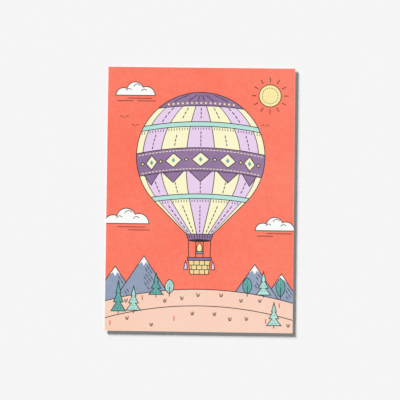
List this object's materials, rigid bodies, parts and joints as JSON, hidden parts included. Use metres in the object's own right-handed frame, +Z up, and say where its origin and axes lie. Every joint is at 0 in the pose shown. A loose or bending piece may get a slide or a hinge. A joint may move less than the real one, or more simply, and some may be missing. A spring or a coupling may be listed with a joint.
{
  "type": "postcard",
  "caption": "Flat rectangular picture postcard of pressed board, with a colour print of a balloon over hills on the front and a ruled address side on the back.",
  "frame": {"origin": "middle of the back face, on the surface that the card lies on", "axes": "+X to the right of the picture, +Y to its top, +Z up out of the printed face"},
  "size_m": [0.105, 0.148, 0.0005],
  "materials": {
    "face_board": "uncoated smooth white paper, pressed onto the core",
    "core_board": "pressed pulp board, seen only at the cut edges",
    "back_board": "uncoated paper that takes pen and stamp",
    "ink_coral": "matte printing ink soaked into uncoated paper",
    "ink_peach": "matte printing ink soaked into uncoated paper",
    "ink_cream": "matte printing ink soaked into uncoated paper",
    "ink_lilac": "matte printing ink soaked into uncoated paper",
    "ink_purple": "matte printing ink soaked into uncoated paper",
    "ink_mint": "matte printing ink soaked into uncoated paper",
    "ink_teal": "matte printing ink soaked into uncoated paper",
    "ink_slate_blue": "matte printing ink soaked into uncoated paper",
    "ink_yellow": "matte printing ink soaked into uncoated paper",
    "ink_key_line": "matte printing ink soaked into uncoated paper",
    "ink_back_grey": "matte grey printing ink soaked into uncoated paper"
  },
  "bodies": {
    "root": {"face_ply": "face_board", "core_ply": "core_board", "back_ply": "back_board", "ink_coral": "ink_coral", "ink_peach": "ink_peach", "ink_cream": "ink_cream", "ink_lilac": "ink_lilac", "ink_purple": "ink_purple", "ink_mint": "ink_mint", "ink_teal": "ink_teal", "ink_slate_blue": "ink_slate_blue", "ink_yellow": "ink_yellow", "ink_key_line": "ink_key_line", "back_divider_rule": "ink_back_grey", "back_address_lines": "ink_back_grey", "back_stamp_frame": "ink_back_grey"}
  },
  "joints": []
}
